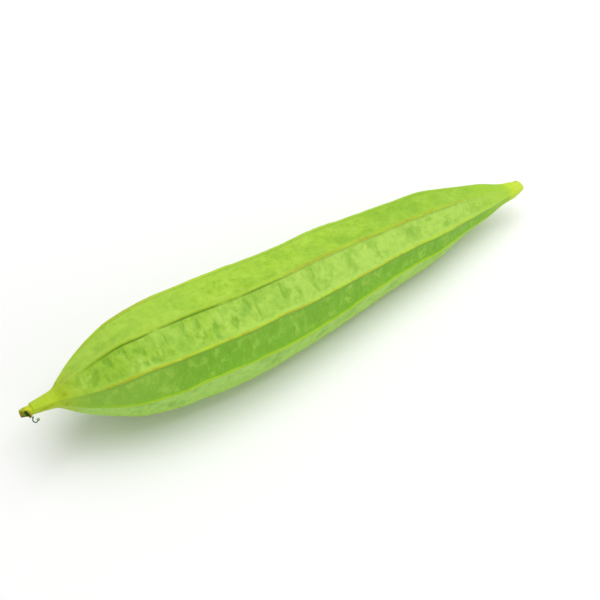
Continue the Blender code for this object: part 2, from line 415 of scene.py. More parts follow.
def makeSkinMaterial(finish):
    material, tree, shader = startMaterial("gourdSkin", finish["roughness"])
    place = objectPlace(tree)
    ringwise = vectorCalc(tree, "MULTIPLY", place, (1.0, 0.55, 0.55))
    along = attributeOf(tree, "along")
    across = attributeOf(tree, "across")
    fromRidge = attributeOf(tree, "fromRidge")
    wrinkle = attributeOf(tree, "wrinkle")
    side = attributeOf(tree, "side")

    def times(*shares):
        result = shares[0]
        for share in shares[1:]:
            result = calc(tree, "MULTIPLY", result, share)
        return result

    def isSide(number):
        return calc(tree, "COMPARE", side, float(number), 0.5)

    # clouds of lighter and deeper green, and each side's tone, which also paints shade on the front
    # side and the floor's reflection on the lower side
    clouds = noiseAt(tree, place, finish["cloudScale"], 4.0, 0.6, 0.3)
    lighter = times(rise(tree, clouds, 0.45, 0.70), finish["cloudShare"])
    colour = mixColour(tree, lighter, finish["fresh"], finish["light"])
    deeper = times(rise(tree, clouds, 0.47, 0.30), finish["cloudShare"])
    colour = mixColour(tree, deeper, colour, finish["deep"])
    for number, (tone, share) in finish["sideTonesAndLight"].items():
        colour = mixColour(tree, times(isSide(number), share), colour, tone)
    bloom = times(isSide(middleSide), rise(tree, along, 0.25, 0.6), finish["bloomShare"])
    colour = mixColour(tree, bloom, colour, finish["bloom"])
    # pale on the humps and deep in the furrows of the cross wrinkles
    onSide = rise(tree, fromRidge, 0.8, 3.0)
    shown = 1.0
    for number, share in finish["calmer"].items():
        shown = calc(tree, "SUBTRACT", shown, times(isSide(number), share))
    middle = times(isSide(middleSide), rise(tree, along, 0.4, 0.6), finish["calmerMiddle"])
    shown = calc(tree, "SUBTRACT", shown, middle)
    humps = times(rise(tree, wrinkle, 0.53, 0.68), onSide, shown, finish["humpShare"])
    colour = mixColour(tree, humps, colour, finish["light"])
    furrows = times(rise(tree, wrinkle, 0.47, 0.32), onSide, shown, finish["furrowShare"])
    colour = mixColour(tree, furrows, colour, finish["deep"])
    # patches, a finer mottle and a few pores
    patches = noiseAt(tree, place, finish["patchScale"], 4.0, 0.65, 0.6)
    deepShare, lightShare = finish["patchShares"]
    deeper = times(rise(tree, patches, 0.50, 0.64), onSide, deepShare)
    colour = mixColour(tree, deeper, colour, finish["deep"])
    lighter = times(rise(tree, patches, 0.48, 0.36), onSide, lightShare)
    colour = mixColour(tree, lighter, colour, finish["light"])
    broad = noiseAt(tree, place, finish["broadScale"], 2.0, 0.5, 0.8)
    deeper = times(rise(tree, broad, 0.50, 0.64), onSide, finish["broadShare"])
    colour = mixColour(tree, deeper, colour, finish["deep"])
    stemwards = times(isSide(upperSide), rise(tree, along, 0.56, 0.80), finish["stemwardsShare"])
    colour = mixColour(tree, stemwards, colour, finish["deep"])
    mottle = noiseAt(tree, place, finish["mottleScale"], 3.0, 0.6, 0.5)
    deepShare, lightShare = finish["mottleShares"]
    colour = mixColour(tree, times(rise(tree, mottle, 0.50, 0.68), deepShare), colour, finish["deep"])
    colour = mixColour(tree, times(rise(tree, mottle, 0.47, 0.30), lightShare), colour, finish["light"])
    pores = addNode(tree, "ShaderNodeTexVoronoi", feature="F1")
    plug(tree, pores.inputs["Vector"], place)
    pores.inputs["Scale"].default_value = finish["poreScale"]
    poreSize = times(rise(tree, noiseAt(tree, place, 70.0, 1.0), 0.45, 0.7), finish["poreSize"])
    pore = calc(tree, "LESS_THAN", pores.outputs["Distance"], poreSize)
    colour = mixColour(tree, times(pore, finish["poreShare"]), colour, finish["deep"])
    upperStart = times(isSide(upperSide), rise(tree, along, 0.36, 0.26), finish["startShare"])
    frontStart = times(isSide(frontSide), rise(tree, along, 0.28, 0.14), finish["startShare"])
    colour = mixColour(tree, calc(tree, "ADD", upperStart, frontStart), colour, finish["light"])
    # both ends turn yellow
    beak = rise(tree, along, 0.095, 0.035)
    colour = mixColour(tree, times(beak, finish["beakShare"]), colour, finish["beak"])
    stemEnd = rise(tree, along, 0.86, 0.99)
    colour = mixColour(tree, times(stemEnd, finish["stemEndShare"]), colour, finish["stemEnd"])
    lastRings = calc(tree, "ADD", along, times(noiseAt(tree, place, 260.0, 2.0), 0.016))
    colour = mixColour(tree, rise(tree, lastRings, 0.985, 1.008), colour, stemStub["green"])
    lengthwise = vectorCalc(tree, "MULTIPLY", place, (0.3, 1.0, 1.0))
    stains = rise(tree, noiseAt(tree, lengthwise, 420.0, 3.0), 0.50, 0.68)
    colour = mixColour(tree, times(stains, beak, finish["stainShare"]), colour, finish["beakOchre"])
    # painted shade: a dark line just under each ridge, where its keel shades the side below, then the
    # crest itself
    body = times(rise(tree, along, 0.07, 0.15), rise(tree, along, 0.95, 0.80))
    ridgeNumber = calc(tree, "FLOOR", calc(tree, "ADD", calc(tree, "ADD", side, across), 0.5))

    def isRidge(number):
        return calc(tree, "COMPARE", ridgeNumber, float(number), 0.1)

    upperRidgeStart = times(isRidge(upperRidge), rise(tree, along, 0.52, 0.40))
    underRidgeShade = times(rise(tree, fromRidge, 1.8, 1.3), rise(tree, fromRidge, 0.5, 0.8))
    underRidgeShade = times(underRidgeShade, rise(tree, across, 0.5, 0.7))
    broken = rise(tree, noiseAt(tree, place, 75.0, 3.0), 0.28, 0.50)
    leastShade, addedShade = finish["ridgeShadeShares"]
    ridgeShadeShare = calc(tree, "ADD", leastShade, times(upperRidgeStart, addedShade))
    colour = mixColour(tree, times(underRidgeShade, broken, ridgeShadeShare, body), colour, finish["ridgeShade"])
    # painted shade also just beside the rear ridge, on its far side
    rearRidgeShade = times(rise(tree, fromRidge, 2.0, 1.5), rise(tree, fromRidge, 0.8, 1.1))
    rearRidgeShade = times(isRidge(rearRidge), rearRidgeShade, broken, rise(tree, across, 0.7, 0.5))
    colour = mixColour(tree, times(rearRidgeShade, body, finish["rearRidgeShadeShare"]), colour, finish["ridgeShade"])
    leastReach, addedReach = finish["crestReach"]
    crestReach = calc(tree, "ADD", leastReach, times(noiseAt(tree, place, 130.0, 3.0), addedReach))
    crest = times(rise(tree, calc(tree, "DIVIDE", fromRidge, crestReach), 1.8, 0.6), body)
    less = finish["lessOchre"]
    plain = times(isRidge(frontRidge), less["front"])
    plain = calc(tree, "ADD", plain, times(upperRidgeStart, less["upperStart"]))
    ochre = calc(tree, "SUBTRACT", noiseAt(tree, place, 48.0, 4.0, 0.65), plain)
    ochre = rise(tree, ochre, 0.42, 0.58)
    crestColour = mixColour(tree, ochre, finish["crestLime"], finish["crestOchre"])
    specks = rise(tree, noiseAt(tree, place, 420.0, 2.0), 0.60, 0.70)
    specks = times(specks, finish["crestSpecks"])
    crestColour = mixColour(tree, specks, crestColour, finish["crestBrown"])
    fresher = times(isRidge(frontRidge), finish["crestFreshShare"])
    crestColour = mixColour(tree, fresher, crestColour, finish["crestFresh"])
    # some crests hardly show, and the upper ones fade a little towards the stem
    fading = finish["faint"]
    faint = times(upperRidgeStart, fading["upperStart"])
    faint = calc(tree, "ADD", faint, times(isRidge(lowerRidge), fading["lower"]))
    rear = times(isRidge(rearRidge), rise(tree, along, 0.32, 0.48), fading["rear"])
    faint = calc(tree, "ADD", faint, rear)
    stemwards = times(rise(tree, along, 0.38, 0.55), rise(tree, ridgeNumber, 4.0, 5.0))
    faint = calc(tree, "ADD", faint, times(stemwards, fading["stemwards"]))
    strength = calc(tree, "SUBTRACT", finish["crestShare"], faint)
    strength = calc(tree, "MAXIMUM", strength, 0.0)
    colour = mixColour(tree, times(crest, strength), colour, crestColour)
    tree.links.new(colour, shader.inputs["Base Color"])

    leastGloss, addedGloss = finish["gloss"]
    gloss = calc(tree, "ADD", leastGloss, times(noiseAt(tree, place, 240.0, 3.0), addedGloss))
    tree.links.new(gloss, shader.inputs["Roughness"])
    shader.inputs["Specular IOR Level"].default_value = finish["shine"]
    shader.inputs["Subsurface Weight"].default_value = finish["softShare"]
    shader.inputs["Subsurface Radius"].default_value = finish["softReach"]
    shader.inputs["Subsurface Scale"].default_value = 1.0
    fine = noiseAt(tree, ringwise, 300.0, 3.0, 0.55, 0.5)
    grain = noiseAt(tree, place, 1500.0, 2.0)
    bumpFrom(tree, shader, [(fine, finish["bumpDepth"]), (grain, finish["grainDepth"])])
    return material


# the fruit is a spine, swept and shaped in geometry nodes
fruitBuild = {
    "rings": 424,
    "pointsPerSide": 22,
    "lumpScale": 20.0,
    "blisterScale": 170.0,
    "wanderScale": 34.0,
    "nickScale": 95.0,
    "leastRadius": 0.004,  # keeps the ridges from wandering far on the narrow ends
    "keelShare": 0.55,  # of a ridge's height; the flank has the rest
    "ridgeLevel": 0.92,  # of the ridge height, before nicks and bumps
    "wrinkleNoise": (1.6, 0.45, 0.9),  # detail, roughness and distortion
    "wrinkleStretch": 0.42,  # below 1, the wrinkles run across the fruit
    # the rings that close an end: how far out in mm, and the share of the radius
    "closing": ((0.10, 0.985), (0.20, 0.95), (0.27, 0.88), (0.30, 0.7), (0.31, 0.4), (0.315, 0.02)),
    # how strongly each side is wrinkled, in the order of gourdShape's ridges
    "wrinkled": (0.5, 0.4, 0.4, 0.35, 0.7, 1.0, 0.45, 0.6, 0.7, 0.5),
    "sizes": {
        "Side Bulge": 0.35,
        "Side Crowding": 0.8,  # brings the points nearer to the ridges
        "Keel Width": 0.0008,
        "Flank Width": 0.0026,
        "Keel Softness": 0.00025,
        "Ridge Wander": 0.0009,
        "Ridge Nicks": 0.35,
        "Lump Depth": 0.0006,
        "Wrinkle Depth": 0.0006,
        "Wrinkle Spacing": 0.0046,
        "Blister Depth": 0.0002,
    },
}


def makeSpine(build):
    shares = [i / (build["rings"] - 1) for i in range(build["rings"])]
    stations = [(share, 0.0, 1.0) for share in shares]
    # a few rings close each end over the joint's gap
    closing = build["closing"]
    stations = [(0.0, -0.001 * out, narrow) for out, narrow in reversed(closing)] + stations
    stations += [(1.0, 0.001 * out, narrow) for out, narrow in closing]
    mesh = bpy.data.meshes.new("fruitSpine")
    points = [middleOf(share) + headingOf(share) * out + shift for share, out, narrow in stations]
    mesh.from_pydata(points, [(i, i + 1) for i in range(len(points) - 1)], [])
    thickest, outline = gourdShape["greatestRadius"], gourdShape["outline"]
    highest, ridgeShare = gourdShape["ridgeHeight"], gourdShape["ridgeShare"]
    values = {
        "outer": [thickest * valueAt(outline, s) * narrow for s, out, narrow in stations],
        "ridge": [highest * valueAt(ridgeShare, s) * narrow for s, out, narrow in stations],
        "along": [s for s, out, narrow in stations],
    }
    for number, (reach, way) in enumerate(gourdShape["ridges"]):
        values["ridgeWay" + str(number)] = [valueAt(way, s) for s, out, narrow in stations]
    for name, row in values.items():
        mesh.attributes.new(name, "FLOAT", "POINT").data.foreach_set("value", row)
    headings = [number for s, out, narrow in stations for number in headingOf(s)]
    mesh.attributes.new("heading", "FLOAT_VECTOR", "POINT").data.foreach_set("vector", headings)
    spine = bpy.data.objects.new("fruitSpine", mesh)
    bpy.context.scene.collection.objects.link(spine)
    return spine


def namedValue(tree, name, dataType="FLOAT"):
    node = addNode(tree, "GeometryNodeInputNamedAttribute", data_type=dataType)
    node.inputs["Name"].default_value = name
    return node.outputs["Attribute"]


def storeValue(tree, geometry, name, value, dataType="FLOAT"):
    node = addNode(tree, "GeometryNodeStoreNamedAttribute", data_type=dataType, domain="POINT")
    tree.links.new(geometry, node.inputs["Geometry"])
    node.inputs["Name"].default_value = name
    plug(tree, node.inputs["Value"], value)
    return node.outputs["Geometry"]


def pickByIndex(tree, index, values):
    node = addNode(tree, "GeometryNodeIndexSwitch", data_type="FLOAT")
    while len(node.index_switch_items) < len(values):
        node.index_switch_items.new()
    tree.links.new(index, node.inputs["Index"])
    for socket, value in zip(node.inputs[1:], values):
        plug(tree, socket, value)
    return node.outputs["Output"]


def makeFruitTree(build, material):
    tree = bpy.data.node_groups.new("ridgedFruit", "GeometryNodeTree")
    tree.interface.new_socket("Geometry", in_out="INPUT", socket_type="NodeSocketGeometry")
    for name in build["sizes"]:
        tree.interface.new_socket(name, in_out="INPUT", socket_type="NodeSocketFloat")
    tree.interface.new_socket("Geometry", in_out="OUTPUT", socket_type="NodeSocketGeometry")
    given = addNode(tree, "NodeGroupInput").outputs
    result = addNode(tree, "NodeGroupOutput").inputs
    sideCount = len(gourdShape["ridges"])

    # the spine becomes a curve and is swept with a ring of numbered points
    spine = addNode(tree, "GeometryNodeMeshToCurve")
    tree.links.new(given["Geometry"], spine.inputs["Mesh"])
    position = addNode(tree, "GeometryNodeInputPosition").outputs[0]
    line = storeValue(tree, spine.outputs["Curve"], "centre", position, "FLOAT_VECTOR")
    ring = addNode(tree, "GeometryNodeCurvePrimitiveCircle", mode="RADIUS")
    ring.inputs["Resolution"].default_value = sideCount * build["pointsPerSide"]
    ring.inputs["Radius"].default_value = 0.001
    number = addNode(tree, "GeometryNodeInputIndex").outputs[0]
    profile = storeValue(tree, ring.outputs["Curve"], "number", number)
    sweep = addNode(tree, "GeometryNodeCurveToMesh")
    tree.links.new(line, sweep.inputs["Curve"])
    tree.links.new(profile, sweep.inputs["Profile Curve"])
    sweep.inputs["Fill Caps"].default_value = True

    # which side of the fruit a point is on, and how far across it
    perSide = float(build["pointsPerSide"])
    number = namedValue(tree, "number")
    side = calc(tree, "FLOOR", calc(tree, "DIVIDE", calc(tree, "ADD", number, 0.1), perSide))
    numberOnSide = calc(tree, "SUBTRACT", number, calc(tree, "MULTIPLY", side, perSide))
    across = calc(tree, "DIVIDE", numberOnSide, perSide)
    wave = calc(tree, "SINE", calc(tree, "MULTIPLY", across, 2 * math.pi))
    crowding = calc(tree, "DIVIDE", calc(tree, "MULTIPLY", wave, given["Side Crowding"]), 2 * math.pi)
    across = calc(tree, "SUBTRACT", across, crowding)
    ways = [namedValue(tree, "ridgeWay" + str(i)) for i in range(sideCount)]
    reaches = [reach for reach, way in gourdShape["ridges"]]
    first = pickByIndex(tree, side, ways)
    following = pickByIndex(tree, side, ways[1:] + [calc(tree, "ADD", ways[0], 360.0)])
    between = calc(tree, "SUBTRACT", following, first)
    wide = calc(tree, "RADIANS", between)
    angle = calc(tree, "MULTIPLY_ADD", across, between, first)

    # a nearly flat side between two corners
    outer = namedValue(tree, "outer")
    ridge = namedValue(tree, "ridge")
    along = namedValue(tree, "along")
    ownReach = pickByIndex(tree, side, reaches)
    corner = calc(tree, "SUBTRACT", calc(tree, "MULTIPLY", outer, ownReach), ridge)
    nextReach = pickByIndex(tree, side, reaches[1:] + reaches[:1])
    nextCorner = calc(tree, "SUBTRACT", calc(tree, "MULTIPLY", outer, nextReach), ridge)
    acrossLeft = calc(tree, "SUBTRACT", 1.0, across)
    slant = calc(tree, "MULTIPLY", corner, calc(tree, "SINE", calc(tree, "MULTIPLY", wide, across)))
    wideLeft = calc(tree, "MULTIPLY", wide, acrossLeft)
    slantLeft = calc(tree, "MULTIPLY", nextCorner, calc(tree, "SINE", wideLeft))
    flat = calc(tree, "MULTIPLY", calc(tree, "MULTIPLY", corner, nextCorner), calc(tree, "SINE", wide))
    flat = calc(tree, "DIVIDE", flat, calc(tree, "ADD", slant, slantLeft))
    arc = calc(tree, "MULTIPLY_ADD", across, calc(tree, "SUBTRACT", nextCorner, corner), corner)
    skin = calc(tree, "MULTIPLY_ADD", calc(tree, "SUBTRACT", arc, flat), given["Side Bulge"], flat)
    meanCorner = calc(tree, "MULTIPLY", calc(tree, "ADD", corner, nextCorner), 0.5)
    sideWidth = calc(tree, "MULTIPLY", meanCorner, wide)
    nearer = calc(tree, "MINIMUM", across, acrossLeft)
    fromRidge = calc(tree, "MULTIPLY", sideWidth, nearer)

    # which way is out, at the point's angle
    heading = namedValue(tree, "heading", "FLOAT_VECTOR")
    centre = namedValue(tree, "centre", "FLOAT_VECTOR")
    back = vectorCalc(tree, "NORMALIZE", vectorCalc(tree, "CROSS_PRODUCT", (0.0, 0.0, 1.0), heading))
    up = vectorCalc(tree, "CROSS_PRODUCT", heading, back)

    def outwards(degrees):
        turn = calc(tree, "RADIANS", degrees)
        rising = scaleVector(tree, up, calc(tree, "SINE", turn))
        return vectorCalc(tree, "SUBTRACT", rising, scaleVector(tree, back, calc(tree, "COSINE", turn)))

    smoothPlace = vectorCalc(tree, "ADD", centre, scaleVector(tree, outwards(angle), skin))

    # growth: lumps, cross wrinkles, blisters, and ridges that wander and are nicked
    def swell(scale, detail=2.0):
        field = noiseAt(tree, smoothPlace, scale, detail)
        return calc(tree, "MULTIPLY", calc(tree, "SUBTRACT", field, 0.5), 2.0)

    ends = calc(tree, "MULTIPLY", rise(tree, along, 0.03, 0.10), rise(tree, along, 0.995, 0.93))
    sideOnly = calc(tree, "MULTIPLY", rise(tree, fromRidge, 0.0006, 0.0035), ends)
    lumps = calc(tree, "MULTIPLY", swell(build["lumpScale"]), given["Lump Depth"])
    lumps = calc(tree, "MULTIPLY", lumps, ends)
    stretch = build["wrinkleStretch"]
    stretched = vectorCalc(tree, "MULTIPLY", smoothPlace, (1.0, stretch, stretch))
    wrinkleScale = calc(tree, "DIVIDE", 1.0, given["Wrinkle Spacing"])
    wrinkle = noiseAt(tree, stretched, wrinkleScale, *build["wrinkleNoise"])
    share = pickByIndex(tree, side, build["wrinkled"])
    wrinkleHeight = calc(tree, "MULTIPLY", calc(tree, "SUBTRACT", wrinkle, 0.5), given["Wrinkle Depth"])
    wrinkleHeight = calc(tree, "MULTIPLY", calc(tree, "MULTIPLY", wrinkleHeight, 2.0), share)
    blisters = calc(tree, "MULTIPLY", swell(build["blisterScale"]), given["Blister Depth"])
    relief = calc(tree, "MULTIPLY", calc(tree, "ADD", wrinkleHeight, blisters), sideOnly)
    wander = calc(tree, "MULTIPLY", swell(build["wanderScale"]), given["Ridge Wander"])
    wander = calc(tree, "MULTIPLY", wander, ends)
    wander = calc(tree, "DIVIDE", wander, calc(tree, "MAXIMUM", corner, build["leastRadius"]))
    angle = calc(tree, "ADD", angle, calc(tree, "DEGREES", wander))
    nicks = calc(tree, "MULTIPLY", swell(build["nickScale"], 3.0), given["Ridge Nicks"])
    nicks = calc(tree, "MAXIMUM", nicks, build["ridgeLevel"] - 1)
    height = calc(tree, "MULTIPLY", ridge, calc(tree, "SUBTRACT", build["ridgeLevel"], nicks))

    # a thin keel on a broader flank
    softness = given["Keel Softness"]
    squares = calc(tree, "ADD", calc(tree, "POWER", fromRidge, 2.0), calc(tree, "POWER", softness, 2.0))
    reach = calc(tree, "SUBTRACT", calc(tree, "POWER", squares, 0.5), softness)

    def fallOff(width):
        return calc(tree, "EXPONENT", calc(tree, "MULTIPLY", calc(tree, "DIVIDE", reach, width), -1.0))

    keel = calc(tree, "MULTIPLY", fallOff(given["Keel Width"]), build["keelShare"])
    flank = calc(tree, "MULTIPLY", fallOff(given["Flank Width"]), 1 - build["keelShare"])
    rib = calc(tree, "ADD", keel, flank)
    radius = calc(tree, "ADD", skin, calc(tree, "MULTIPLY", height, rib))
    radius = calc(tree, "ADD", radius, calc(tree, "ADD", relief, lumps))
    place = vectorCalc(tree, "ADD", centre, scaleVector(tree, outwards(angle), radius))

    # pressed flat where it lies on the ground, and no thicker than the CAD model
    low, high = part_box("fruit")
    place = vectorCalc(tree, "MAXIMUM", place, (cadLow.x, low.y, 0.0))
    place = vectorCalc(tree, "MINIMUM", place, (cadHigh.x, high.y, high.z))

    # what the finish needs to know
    inMillimetres = calc(tree, "MULTIPLY", fromRidge, 1000.0)
    geometry = storeValue(tree, sweep.outputs["Mesh"], "fromRidge", inMillimetres)
    geometry = storeValue(tree, geometry, "across", across)
    geometry = storeValue(tree, geometry, "wrinkle", wrinkle)
    geometry = storeValue(tree, geometry, "side", side)
    moved = addNode(tree, "GeometryNodeSetPosition")
    tree.links.new(geometry, moved.inputs["Geometry"])
    tree.links.new(place, moved.inputs["Position"])
    real = addNode(tree, "GeometryNodeRealizeInstances")
    tree.links.new(moved.outputs[0], real.inputs[0])
    finished = addNode(tree, "GeometryNodeSetMaterial")
    tree.links.new(real.outputs[0], finished.inputs["Geometry"])
    finished.inputs["Material"].default_value = material
    tree.links.new(finished.outputs[0], result["Geometry"])
    return tree


def makeFruit(build):
    material = makeSkinMaterial(skinFinish)
    spine = makeSpine(build)
    grow = spine.modifiers.new("grow", "NODES")
    grow.node_group = makeFruitTree(build, material)
    for socket in grow.node_group.interface.items_tree:
        if socket.name in build["sizes"]:
            grow[socket.identifier] = build["sizes"][socket.name]
    mesh = bpy.data.meshes.new_from_object(spine.evaluated_get(bpy.context.evaluated_depsgraph_get()))
    mesh.name = "ridgedFruit"
    bpy.data.objects.remove(spine)
    for name in ("outer", "ridge", "heading", "centre", "number"):
        mesh.attributes.remove(mesh.attributes[name])
    for i in range(len(gourdShape["ridges"])):
        mesh.attributes.remove(mesh.attributes["ridgeWay" + str(i)])
    return keepMesh("ridgedFruit", tidyMesh(mesh), "fruit")


fruit = makeFruit(fruitBuild)
print("fruit:", len(fruit.data.polygons), "faces")


# rings of points round a line, closed at both ends, for the stem and the thread;
# form(share, turn) scales the radius
def sweepTube(name, centres, radii, sides, form):
    shape = bmesh.new()
    along = shape.verts.layers.float.new("along")
    loops = []
    side = Vector((0.0, 0.0, 1.0))
    for i, (centre, radius) in enumerate(zip(centres, radii)):
        before, after = centres[max(i - 1, 0)], centres[min(i + 1, len(centres) - 1)]
        heading = (after - before).normalized()
        side = (side - heading * side.dot(heading)).normalized()
        other = heading.cross(side)
        share = i / (len(centres) - 1)
        loop = []
        for k in range(sides):
            turn = 2 * math.pi * k / sides
            reach = radius * form(share, turn)
            vert = shape.verts.new(centre + reach * (math.cos(turn) * side + math.sin(turn) * other))
            vert[along] = share
            loop.append(vert)
        loops.append(loop)
    for first, second in zip(loops, loops[1:]):
        for k in range(sides):
            after = (k + 1) % sides
            shape.faces.new((first[k], first[after], second[after], second[k]))
    shape.faces.new(loops[0])
    shape.faces.new(loops[-1])
    mesh = bpy.data.meshes.new(name)
    shape.to_mesh(mesh)
    shape.free()
    return tidyMesh(mesh)


# the stub on the fruit's narrow end
def makeStemMaterial(stem):
    material, tree, shader = startMaterial("stemTissue", stem["roughness"])
    place = objectPlace(tree)
    along = attributeOf(tree, "along")
    tint = rise(tree, noiseAt(tree, place, 260.0, 3.0), 0.35, 0.65)
    colour = mixColour(tree, tint, stem["green"], stem["yellow"])
    colour = mixColour(tree, rise(tree, along, 0.72, 0.84), colour, stem["cut"])
    # a few brown dots just before the cut
    nearCut = calc(tree, "MULTIPLY", rise(tree, along, 0.45, 0.62), rise(tree, along, 0.84, 0.76))
    specks = rise(tree, noiseAt(tree, place, 1500.0, 1.0, 0.5), 0.66, 0.72)
    dots = calc(tree, "MULTIPLY", calc(tree, "MULTIPLY", specks, nearCut), stem["dotShare"])
    colour = mixColour(tree, dots, colour, stem["brown"])
    tree.links.new(colour, shader.inputs["Base Color"])
    lengthwise = vectorCalc(tree, "MULTIPLY", place, (0.15, 1.0, 1.0))
    fibres = noiseAt(tree, lengthwise, 1200.0, 3.0)
    grain = noiseAt(tree, place, 2600.0)
    bumpFrom(tree, shader, [(fibres, stem["fibreDepth"]), (grain, stem["grainDepth"])])
    return material


def makeStem(stem):
    onwards = headingOf(1.0)
    back = Vector((0.0, 0.0, 1.0)).cross(onwards).normalized()
    up = onwards.cross(back)
    turns = back * math.tan(math.radians(stem["turnsBack"]))
    turns += up * math.tan(math.radians(stem["turnsUp"]))
    start = middleOf(1.0) + shift + onwards * gourdShape["jointGap"]
    straight = stem["length"] - stem["rounding"]
    rows = []
    for i in range(stem["rings"]):
        share = i / (stem["rings"] - 1)
        reach = -stem["sunkBy"] + (straight + stem["sunkBy"]) * share
        flare = stem["flare"] * math.exp(-max(reach, 0.0) / stem["flareLength"])
        rows.append((reach, stem["radius"] + (stem["endRadius"] - stem["radius"]) * share + flare))
    for i in range(1, stem["roundingRings"] + 1):
        turn = math.radians(90 * i / stem["roundingRings"])
        across = stem["endRadius"] - stem["rounding"] * (1 - math.cos(turn))
        rows.append((straight + stem["rounding"] * math.sin(turn), across))
    # the cut face is a little hollow
    face = rows[-1][1]
    for share in (0.85, 0.7, 0.55, 0.4, 0.25, 0.1, 0.01):
        rows.append((stem["length"] - stem["cutHollow"] * math.sqrt(1 - share), face * share))
    centres = []
    for reach, across in rows:
        centres.append(start + onwards * reach + turns * max(reach, 0.0) ** 2 / stem["length"])

    def form(share, turn):
        ribs = 1 + stem["ribDepth"] * math.cos(stem["ribs"] * turn) * min(share / 0.3, 1.0)
        rough = noise.noise(Vector((math.cos(turn) * 2.2, math.sin(turn) * 2.2, share * 9)))
        return ribs * (1 + stem["unevenness"] * rough) - stem["ribDepth"]

    mesh = sweepTube("cutStem", centres, [across for reach, across in rows], stem["sides"], form)
    mesh.materials.append(makeStemMaterial(stem))
    return keepMesh("cutStem", mesh, "stem_stub")


makeStem(stemStub)
print("stem stub done")


# the withered flower cup
flowerCup = {
    "radius": 0.0025,
    "rimRadius": 0.0028,
    "reach": 0.0055,  # where the rim's radius is reached
    "lower": 0.00045,  # how far the cup's middle lies off the beak's, towards lowerAt
    "lowerAt": -35.0,
    "footAt": 0.3,  # share of the joint's gap
    "wall": 0.0005,
    "edge": (  # degrees around, how far the wall runs out there
        (0.0, 0.0021),
        (30.0, 0.0025),
        (52.0, 0.0027),
        (70.0, 0.0032),
        (84.0, 0.0046),
        (115.0, 0.0053),
        (150.0, 0.0054),
        (195.0, 0.00545),
        (250.0, 0.00545),
        (266.0, 0.0050),
        (282.0, 0.0030),
        (305.0, 0.0019),
        (328.0, 0.0018),
        (360.0, 0.0021),
    ),
    "turnedIn": 0.08,  # how much the upper edge curls in
    "upperAt": 110.0,
    "droop": 22.0,  # grows with the square of the reach
    "tornDepth": 0.0003,
    "creaseDepth": 0.0002,
    "darkUpTo": 3.0,  # how far out the painted shade inside the cup reaches, in mm
    "lip": 0.0010,  # how far the lower lip flares out
    "lipAt": -39.0,
    "sides": 96,
    "rings": 30,
    "olive": paint(178, 196, 14),
    "yellow": paint(204, 214, 18),
    "brown": paint(142, 112, 24),
    # the colour of the painted shade deep inside the cup
    "shadedInside": paint(74, 124, 42),
    "brownShare": 0.9,
    "streakShare": 0.3,
    "roughness": 0.7,
    "bumpDepth": 0.0003,
}


def makeCupMaterial(cup):
    material, tree, shader = startMaterial("witheredFlower", cup["roughness"])
    place = objectPlace(tree)
    along = attributeOf(tree, "along")
    shadedInside = attributeOf(tree, "shadedInside")
    low = attributeOf(tree, "low")
    depth = attributeOf(tree, "depth")
    tint = rise(tree, noiseAt(tree, place, 420.0, 3.0), 0.35, 0.65)
    colour = mixColour(tree, tint, cup["olive"], cup["yellow"])
    edge = calc(tree, "ADD", along, calc(tree, "MULTIPLY", noiseAt(tree, place, 900.0, 3.0), 0.5))
    lowEdge = calc(tree, "MULTIPLY", rise(tree, edge, 0.75, 1.2), calc(tree, "ADD", 0.15, low))
    colour = mixColour(tree, calc(tree, "MINIMUM", lowEdge, cup["brownShare"]), colour, cup["brown"])
    lengthwise = vectorCalc(tree, "MULTIPLY", place, (0.3, 1.0, 1.0))
    streaks = rise(tree, noiseAt(tree, lengthwise, 1500.0, 2.0), 0.55, 0.7)
    colour = mixColour(tree, calc(tree, "MULTIPLY", streaks, cup["streakShare"]), colour, cup["brown"])
    # painted shade on the inner wall, darkest deep in the cup and fading towards the rim
    deep = calc(tree, "ADD", depth, noiseAt(tree, place, 700.0, 2.0))
    deep = rise(tree, deep, cup["darkUpTo"] + 1.1, cup["darkUpTo"] + 0.3)
    dark = calc(tree, "MULTIPLY", rise(tree, shadedInside, 0.45, 0.95), deep)
    colour = mixColour(tree, dark, colour, cup["shadedInside"])
    tree.links.new(colour, shader.inputs["Base Color"])
    bumpFrom(tree, shader, [(noiseAt(tree, place, 1500.0, 3.0), cup["bumpDepth"])])
    return material


